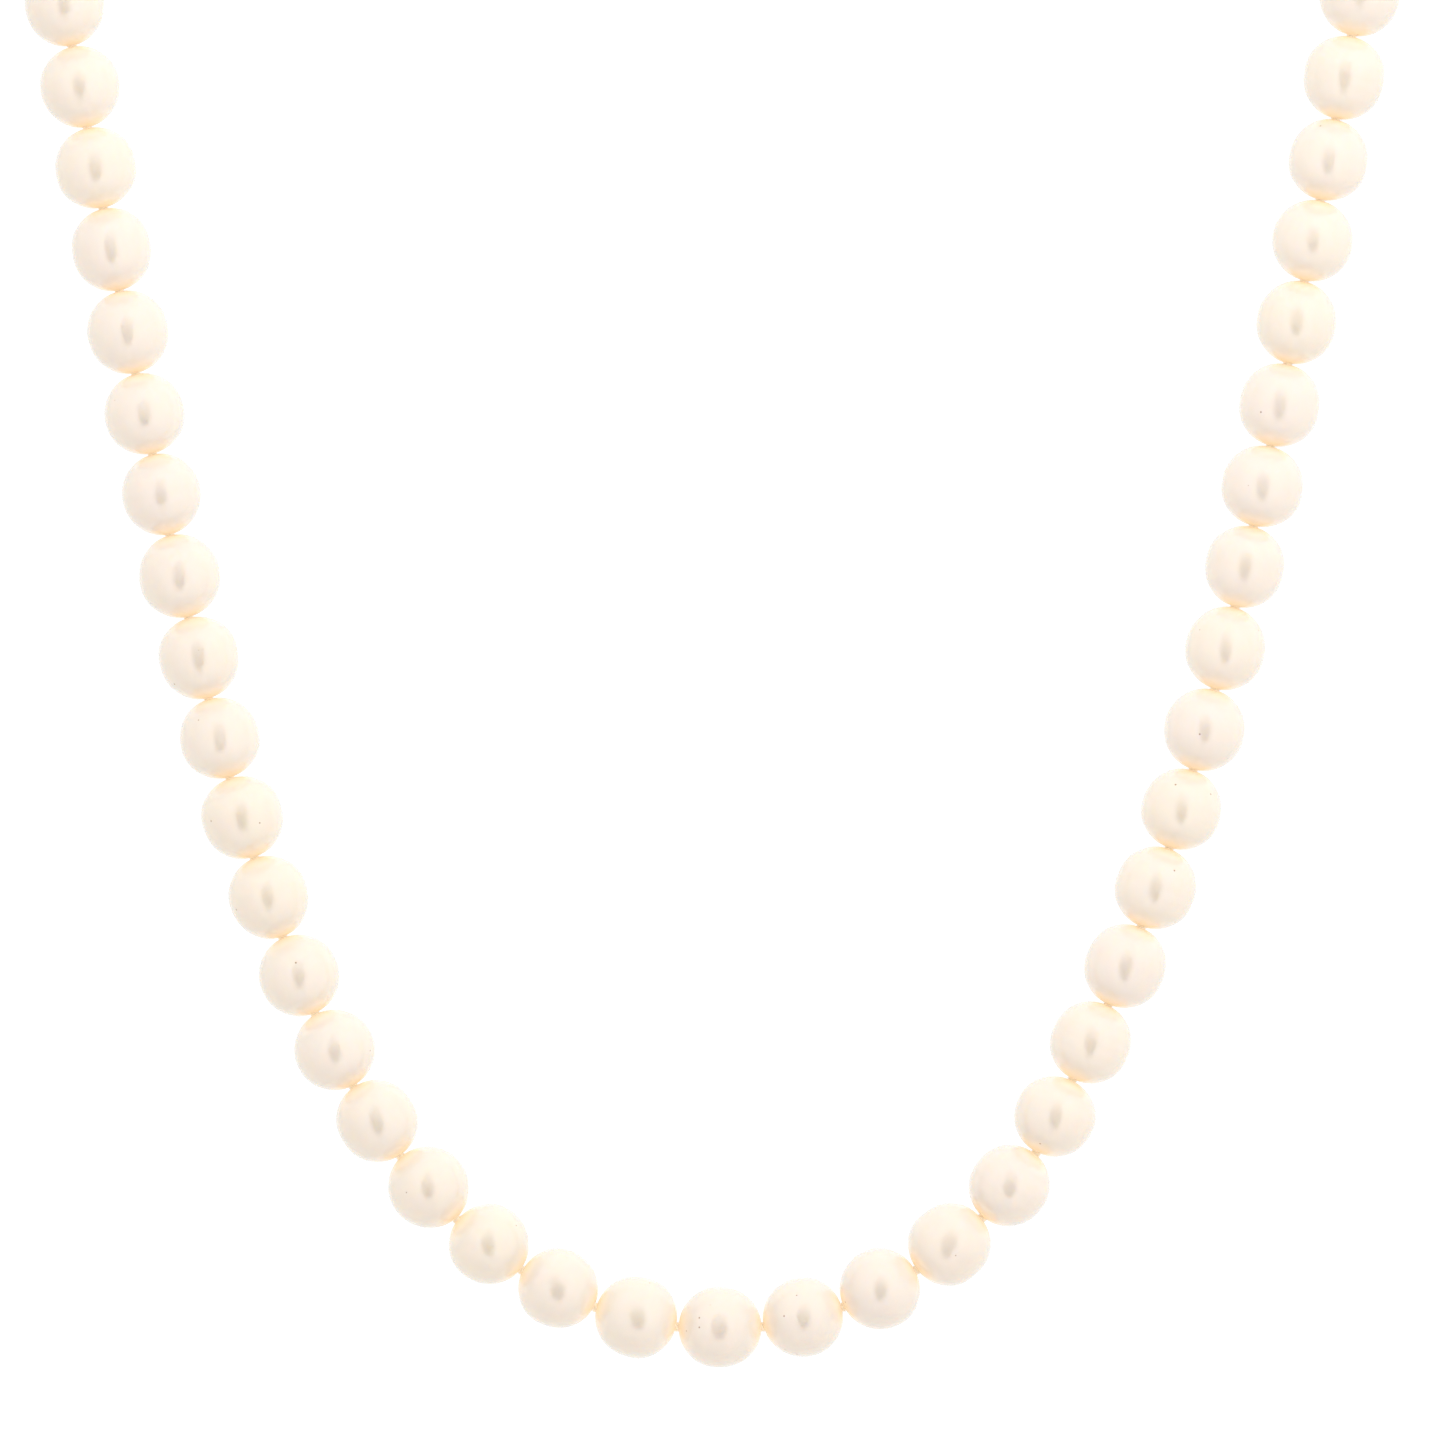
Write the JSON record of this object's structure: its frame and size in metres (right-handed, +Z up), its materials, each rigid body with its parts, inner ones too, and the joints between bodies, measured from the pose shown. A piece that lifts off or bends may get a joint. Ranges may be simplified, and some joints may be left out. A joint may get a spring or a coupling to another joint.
{
  "type": "pearl necklace",
  "caption": "Single-strand knotted pearl necklace laid flat in an open U, each pearl a link that bends at its knots, with bullion loops, jump rings, a sprung lobster clasp and its tab.",
  "frame": {"origin": "middle of the laid-out necklace's footprint, on the table", "axes": "+Z up from the table, +Y from the front pearl towards the clasp ends, +X to the wearer's side that carries the tab"},
  "size_m": [0.1287, 0.2068, 0.0075],
  "materials": {
    "pearl": "gloss",
    "bullion": "satin",
    "gold": "polished",
    "spring_steel": "satin",
    "silk": "matte"
  },
  "bodies": {
    "front": {"pearl_front": "pearl"},
    "pearl_left_01": {"pearl_left_01": "pearl"},
    "pearl_left_02": {"pearl_left_02": "pearl"},
    "pearl_left_03": {"pearl_left_03": "pearl"},
    "pearl_left_04": {"pearl_left_04": "pearl"},
    "pearl_left_05": {"pearl_left_05": "pearl"},
    "pearl_left_06": {"pearl_left_06": "pearl"},
    "pearl_left_07": {"pearl_left_07": "pearl"},
    "pearl_left_08": {"pearl_left_08": "pearl"},
    "pearl_left_09": {"pearl_left_09": "pearl"},
    "pearl_left_10": {"pearl_left_10": "pearl"},
    "pearl_left_11": {"pearl_left_11": "pearl"},
    "pearl_left_12": {"pearl_left_12": "pearl"},
    "pearl_left_13": {"pearl_left_13": "pearl"},
    "pearl_left_14": {"pearl_left_14": "pearl"},
    "pearl_left_15": {"pearl_left_15": "pearl"},
    "pearl_left_16": {"pearl_left_16": "pearl"},
    "pearl_left_17": {"pearl_left_17": "pearl"},
    "pearl_left_18": {"pearl_left_18": "pearl"},
    "pearl_left_19": {"pearl_left_19": "pearl"},
    "pearls_left_20_21": {"pearls_left_20_21": "pearl"},
    "pearls_left_22_23": {"pearls_left_22_23": "pearl"},
    "pearls_left_24_25": {"pearls_left_24_25": "pearl"},
    "pearl_left_26": {"pearl_left_26": "pearl"},
    "pearl_left_27": {"pearl_left_27": "pearl"},
    "pearl_left_28": {"pearl_left_28": "pearl"},
    "pearl_right_01": {"pearl_right_01": "pearl"},
    "pearl_right_02": {"pearl_right_02": "pearl"},
    "pearl_right_03": {"pearl_right_03": "pearl"},
    "pearl_right_04": {"pearl_right_04": "pearl"},
    "pearl_right_05": {"pearl_right_05": "pearl"},
    "pearl_right_06": {"pearl_right_06": "pearl"},
    "pearl_right_07": {"pearl_right_07": "pearl"},
    "pearl_right_08": {"pearl_right_08": "pearl"},
    "pearl_right_09": {"pearl_right_09": "pearl"},
    "pearl_right_10": {"pearl_right_10": "pearl"},
    "pearl_right_11": {"pearl_right_11": "pearl"},
    "pearl_right_12": {"pearl_right_12": "pearl"},
    "pearl_right_13": {"pearl_right_13": "pearl"},
    "pearl_right_14": {"pearl_right_14": "pearl"},
    "pearl_right_15": {"pearl_right_15": "pearl"},
    "pearl_right_16": {"pearl_right_16": "pearl"},
    "pearl_right_17": {"pearl_right_17": "pearl"},
    "pearl_right_18": {"pearl_right_18": "pearl"},
    "pearl_right_19": {"pearl_right_19": "pearl"},
    "pearls_right_20_21": {"pearls_right_20_21": "pearl"},
    "pearls_right_22_23": {"pearls_right_22_23": "pearl"},
    "pearls_right_24_25": {"pearls_right_24_25": "pearl"},
    "pearl_right_26": {"pearl_right_26": "pearl"},
    "pearl_right_27": {"pearl_right_27": "pearl"},
    "pearl_right_28": {"pearl_right_28": "pearl"},
    "left_bullion": {"left_bullion": "bullion"},
    "clasp_ring": {"clasp_ring": "gold"},
    "clasp": {"clasp_body": "gold", "lever_pin": "gold", "lever_spring": "spring_steel"},
    "lever": {"clasp_lever": "gold"},
    "right_bullion": {"right_bullion": "bullion"},
    "tab_ring": {"tab_ring": "gold"},
    "tab": {"clasp_tab": "gold"}
  },
  "joints": [
    {"name": "clasp_ring_flap", "type": "hinge", "parent": "left_bullion", "child": "clasp_ring", "pos_m": [-0.04326, 0.09293, 0.00312], "axis": [-0.8527, 0.5224, 0], "range_deg": [-25, 25]},
    {"name": "clasp_swing", "type": "hinge", "parent": "clasp_ring", "child": "clasp", "pos_m": [-0.042, 0.09498, 0.0018], "axis": [0.0326, 0.0533, 0.998], "range_deg": [-25, 25]},
    {"name": "left_bullion_swing", "type": "hinge", "parent": "pearl_left_28", "child": "left_bullion", "pos_m": [-0.04498, 0.09013, 0.00378], "axis": [0, 0, 1], "range_deg": [-13, 13]},
    {"name": "tab_ring_flap", "type": "hinge", "parent": "right_bullion", "child": "tab_ring", "pos_m": [0.04329, 0.0937, 0.00312], "axis": [-0.8527, -0.5224, 0], "range_deg": [-25, 25]},
    {"name": "tab_swing", "type": "hinge", "parent": "tab_ring", "child": "tab", "pos_m": [0.04203, 0.09576, 0.0018], "axis": [-0.1016, 0.1658, 0.9809], "range_deg": [-25, 25]},
    {"name": "right_bullion_swing", "type": "hinge", "parent": "pearl_right_28", "child": "right_bullion", "pos_m": [0.04502, 0.09088, 0.00361], "axis": [0, 0, 1], "range_deg": [-13, 13]},
    {"name": "lever_press", "type": "hinge", "parent": "clasp", "child": "lever", "pos_m": [-0.03964, 0.0974, 0.00159], "axis": [0.0326, 0.0533, 0.998], "range_deg": [0, 24], "stiffness_Nm_per_rad": 0.0004, "springref_deg": -6},
    {"name": "knot_left_01_turn", "type": "hinge", "parent": "front", "child": "pearl_left_01", "pos_m": [-0.00317, -0.09947, 0.00378], "axis": [0, 0, -1], "range_deg": [-13, 13]},
    {"name": "knot_left_02_lift", "type": "hinge", "parent": "pearl_left_01", "child": "pearl_left_02", "pos_m": [-0.01066, -0.09763, 0.0037], "axis": [0.347, 0.9379, 0], "range_deg": [-13, 13]},
    {"name": "knot_left_03_turn", "type": "hinge", "parent": "pearl_left_02", "child": "pearl_left_03", "pos_m": [-0.01738, -0.09423, 0.00362], "axis": [0, 0, 1], "range_deg": [-13, 13]},
    {"name": "knot_left_04_lift", "type": "hinge", "parent": "pearl_left_03", "child": "pearl_left_04", "pos_m": [-0.02326, -0.08957, 0.00381], "axis": [-0.6852, -0.7284, 0], "range_deg": [-13, 13]},
    {"name": "knot_left_05_turn", "type": "hinge", "parent": "pearl_left_04", "child": "pearl_left_05", "pos_m": [-0.0284, -0.08384, 0.00364], "axis": [0, 0, 1], "range_deg": [-13, 13]},
    {"name": "knot_left_06_lift", "type": "hinge", "parent": "pearl_left_05", "child": "pearl_left_06", "pos_m": [-0.03268, -0.07748, 0.00367], "axis": [-0.8584, -0.5129, 0], "range_deg": [-13, 13]},
    {"name": "knot_left_07_turn", "type": "hinge", "parent": "pearl_left_06", "child": "pearl_left_07", "pos_m": [-0.03617, -0.07086, 0.0038], "axis": [0, 0, -1], "range_deg": [-13, 13]},
    {"name": "knot_left_08_lift", "type": "hinge", "parent": "pearl_left_07", "child": "pearl_left_08", "pos_m": [-0.03913, -0.0639, 0.0036], "axis": [0.9316, 0.3634, 0], "range_deg": [-13, 13]},
    {"name": "knot_left_09_turn", "type": "hinge", "parent": "pearl_left_08", "child": "pearl_left_09", "pos_m": [-0.04172, -0.05662, 0.00374], "axis": [0, 0, -1], "range_deg": [-13, 13]},
    {"name": "knot_left_10_lift", "type": "hinge", "parent": "pearl_left_09", "child": "pearl_left_10", "pos_m": [-0.04394, -0.04935, 0.00375], "axis": [0.961, 0.2765, 0], "range_deg": [-13, 13]},
    {"name": "knot_left_11_turn", "type": "hinge", "parent": "pearl_left_10", "child": "pearl_left_11", "pos_m": [-0.04589, -0.04213, 0.00359], "axis": [0, 0, 1], "range_deg": [-13, 13]},
    {"name": "knot_left_12_lift", "type": "hinge", "parent": "pearl_left_11", "child": "pearl_left_12", "pos_m": [-0.04771, -0.03472, 0.00379], "axis": [-0.9732, -0.2301, 0], "range_deg": [-13, 13]},
    {"name": "knot_left_13_turn", "type": "hinge", "parent": "pearl_left_12", "child": "pearl_left_13", "pos_m": [-0.04942, -0.02719, 0.00369], "axis": [0, 0, 1], "range_deg": [-13, 13]},
    {"name": "knot_left_14_lift", "type": "hinge", "parent": "pearl_left_13", "child": "pearl_left_14", "pos_m": [-0.05101, -0.01983, 0.00363], "axis": [-0.9785, -0.2062, 0], "range_deg": [-13, 13]},
    {"name": "knot_left_15_turn", "type": "hinge", "parent": "pearl_left_14", "child": "pearl_left_15", "pos_m": [-0.05252, -0.01248, 0.00381], "axis": [0, 0, -1], "range_deg": [-13, 13]},
    {"name": "knot_left_16_lift", "type": "hinge", "parent": "pearl_left_15", "child": "pearl_left_16", "pos_m": [-0.05403, -0.00494, 0.00363], "axis": [0.981, 0.1942, 0], "range_deg": [-13, 13]},
    {"name": "knot_left_17_turn", "type": "hinge", "parent": "pearl_left_16", "child": "pearl_left_17", "pos_m": [-0.05551, 0.00259, 0.00369], "axis": [0, 0, -1], "range_deg": [-13, 13]},
    {"name": "knot_left_18_lift", "type": "hinge", "parent": "pearl_left_17", "child": "pearl_left_18", "pos_m": [-0.05692, 0.00995, 0.00379], "axis": [0.9821, 0.1882, 0], "range_deg": [-13, 13]},
    {"name": "knot_left_19_turn", "type": "hinge", "parent": "pearl_left_18", "child": "pearl_left_19", "pos_m": [-0.05834, 0.01736, 0.00359], "axis": [0, 0, 1], "range_deg": [-13, 13]},
    {"name": "knot_left_20_lift", "type": "hinge", "parent": "pearl_left_19", "child": "pearls_left_20_21", "pos_m": [-0.05977, 0.02495, 0.00375], "axis": [-0.9894, -0.145, 0], "range_deg": [-13, 13]},
    {"name": "knot_left_22_turn", "type": "hinge", "parent": "pearls_left_20_21", "child": "pearls_left_22_23", "pos_m": [-0.06073, 0.04, 0.0036], "axis": [0, 0, 1], "range_deg": [-13, 13]},
    {"name": "knot_left_24_lift", "type": "hinge", "parent": "pearls_left_22_23", "child": "pearls_left_24_25", "pos_m": [-0.05918, 0.05525, 0.00367], "axis": [-0.9834, 0.1815, 0], "range_deg": [-13, 13]},
    {"name": "knot_left_26_turn", "type": "hinge", "parent": "pearls_left_24_25", "child": "pearl_left_26", "pos_m": [-0.05526, 0.06975, 0.00381], "axis": [0, 0, -1], "range_deg": [-13, 13]},
    {"name": "knot_left_27_lift", "type": "hinge", "parent": "pearl_left_26", "child": "pearl_left_27", "pos_m": [-0.05237, 0.07686, 0.00361], "axis": [0.9101, -0.4145, 0], "range_deg": [-13, 13]},
    {"name": "knot_left_28_turn", "type": "hinge", "parent": "pearl_left_27", "child": "pearl_left_28", "pos_m": [-0.0489, 0.08373, 0.00371], "axis": [0, 0, -1], "range_deg": [-13, 13]},
    {"name": "knot_right_01_turn", "type": "hinge", "parent": "front", "child": "pearl_right_01", "pos_m": [0.00463, -0.09947, 0.00363], "axis": [0, 0, 1], "range_deg": [-13, 13]},
    {"name": "knot_right_02_lift", "type": "hinge", "parent": "pearl_right_01", "child": "pearl_right_02", "pos_m": [0.01195, -0.09767, 0.00368], "axis": [0.347, -0.9379, 0], "range_deg": [-13, 13]},
    {"name": "knot_right_03_turn", "type": "hinge", "parent": "pearl_right_02", "child": "pearl_right_03", "pos_m": [0.01864, -0.09429, 0.00379], "axis": [0, 0, -1], "range_deg": [-13, 13]},
    {"name": "knot_right_04_lift", "type": "hinge", "parent": "pearl_right_03", "child": "pearl_right_04", "pos_m": [0.02466, -0.08951, 0.00359], "axis": [-0.6993, 0.7149, 0], "range_deg": [-13, 13]},
    {"name": "knot_right_05_turn", "type": "hinge", "parent": "pearl_right_04", "child": "pearl_right_05", "pos_m": [0.02957, -0.0836, 0.00375], "axis": [0, 0, -1], "range_deg": [-13, 13]},
    {"name": "knot_right_06_lift", "type": "hinge", "parent": "pearl_right_05", "child": "pearl_right_06", "pos_m": [0.0329, -0.07689, 0.00374], "axis": [-0.8987, 0.4386, 0], "range_deg": [-13, 13]},
    {"name": "knot_right_07_turn", "type": "hinge", "parent": "pearl_right_06", "child": "pearl_right_07", "pos_m": [0.03616, -0.07009, 0.0036], "axis": [0, 0, 1], "range_deg": [-13, 13]},
    {"name": "knot_right_08_lift", "type": "hinge", "parent": "pearl_right_07", "child": "pearl_right_08", "pos_m": [0.03918, -0.06298, 0.0038], "axis": [0.9318, -0.3629, 0], "range_deg": [-13, 13]},
    {"name": "knot_right_09_turn", "type": "hinge", "parent": "pearl_right_08", "child": "pearl_right_09", "pos_m": [0.04173, -0.05579, 0.00368], "axis": [0, 0, 1], "range_deg": [-13, 13]},
    {"name": "knot_right_10_lift", "type": "hinge", "parent": "pearl_right_09", "child": "pearl_right_10", "pos_m": [0.04391, -0.04865, 0.00364], "axis": [0.961, -0.2765, 0], "range_deg": [-13, 13]},
    {"name": "knot_right_11_turn", "type": "hinge", "parent": "pearl_right_10", "child": "pearl_right_11", "pos_m": [0.0459, -0.0413, 0.00381], "axis": [0, 0, -1], "range_deg": [-13, 13]},
    {"name": "knot_right_12_lift", "type": "hinge", "parent": "pearl_right_11", "child": "pearl_right_12", "pos_m": [0.04774, -0.0338, 0.00362], "axis": [-0.9732, 0.2301, 0], "range_deg": [-13, 13]},
    {"name": "knot_right_13_turn", "type": "hinge", "parent": "pearl_right_12", "child": "pearl_right_13", "pos_m": [0.04942, -0.02643, 0.0037], "axis": [0, 0, -1], "range_deg": [-13, 13]},
    {"name": "knot_right_14_lift", "type": "hinge", "parent": "pearl_right_13", "child": "pearl_right_14", "pos_m": [0.05099, -0.01911, 0.00378], "axis": [-0.9785, 0.2062, 0], "range_deg": [-13, 13]},
    {"name": "knot_right_15_turn", "type": "hinge", "parent": "pearl_right_14", "child": "pearl_right_15", "pos_m": [0.05254, -0.0116, 0.00359], "axis": [0, 0, 1], "range_deg": [-13, 13]},
    {"name": "knot_right_16_lift", "type": "hinge", "parent": "pearl_right_15", "child": "pearl_right_16", "pos_m": [0.05405, -0.00405, 0.00376], "axis": [0.981, -0.1942, 0], "range_deg": [-13, 13]},
    {"name": "knot_right_17_turn", "type": "hinge", "parent": "pearl_right_16", "child": "pearl_right_17", "pos_m": [0.0555, 0.00332, 0.00373], "axis": [0, 0, 1], "range_deg": [-13, 13]},
    {"name": "knot_right_18_lift", "type": "hinge", "parent": "pearl_right_17", "child": "pearl_right_18", "pos_m": [0.05692, 0.0107, 0.0036], "axis": [0.9821, -0.1882, 0], "range_deg": [-13, 13]},
    {"name": "knot_right_19_turn", "type": "hinge", "parent": "pearl_right_18", "child": "pearl_right_19", "pos_m": [0.05836, 0.01828, 0.0038], "axis": [0, 0, -1], "range_deg": [-13, 13]},
    {"name": "knot_right_20_lift", "type": "hinge", "parent": "pearl_right_19", "child": "pearls_right_20_21", "pos_m": [0.05978, 0.0258, 0.00366], "axis": [-0.9894, 0.145, 0], "range_deg": [-13, 13]},
    {"name": "knot_right_22_turn", "type": "hinge", "parent": "pearls_right_20_21", "child": "pearls_right_22_23", "pos_m": [0.06073, 0.04081, 0.00381], "axis": [0, 0, -1], "range_deg": [-13, 13]},
    {"name": "knot_right_24_lift", "type": "hinge", "parent": "pearls_right_22_23", "child": "pearls_right_24_25", "pos_m": [0.0592, 0.05603, 0.00372], "axis": [-0.9834, -0.1815, 0], "range_deg": [-13, 13]},
    {"name": "knot_right_26_turn", "type": "hinge", "parent": "pearls_right_24_25", "child": "pearl_right_26", "pos_m": [0.05524, 0.07062, 0.00359], "axis": [0, 0, 1], "range_deg": [-13, 13]},
    {"name": "knot_right_27_lift", "type": "hinge", "parent": "pearl_right_26", "child": "pearl_right_27", "pos_m": [0.05233, 0.07776, 0.00378], "axis": [0.9101, 0.4145, 0], "range_deg": [-13, 13]},
    {"name": "knot_right_28_turn", "type": "hinge", "parent": "pearl_right_27", "child": "pearl_right_28", "pos_m": [0.04894, 0.08447, 0.00371], "axis": [0, 0, 1], "range_deg": [-13, 13]}
  ]
}
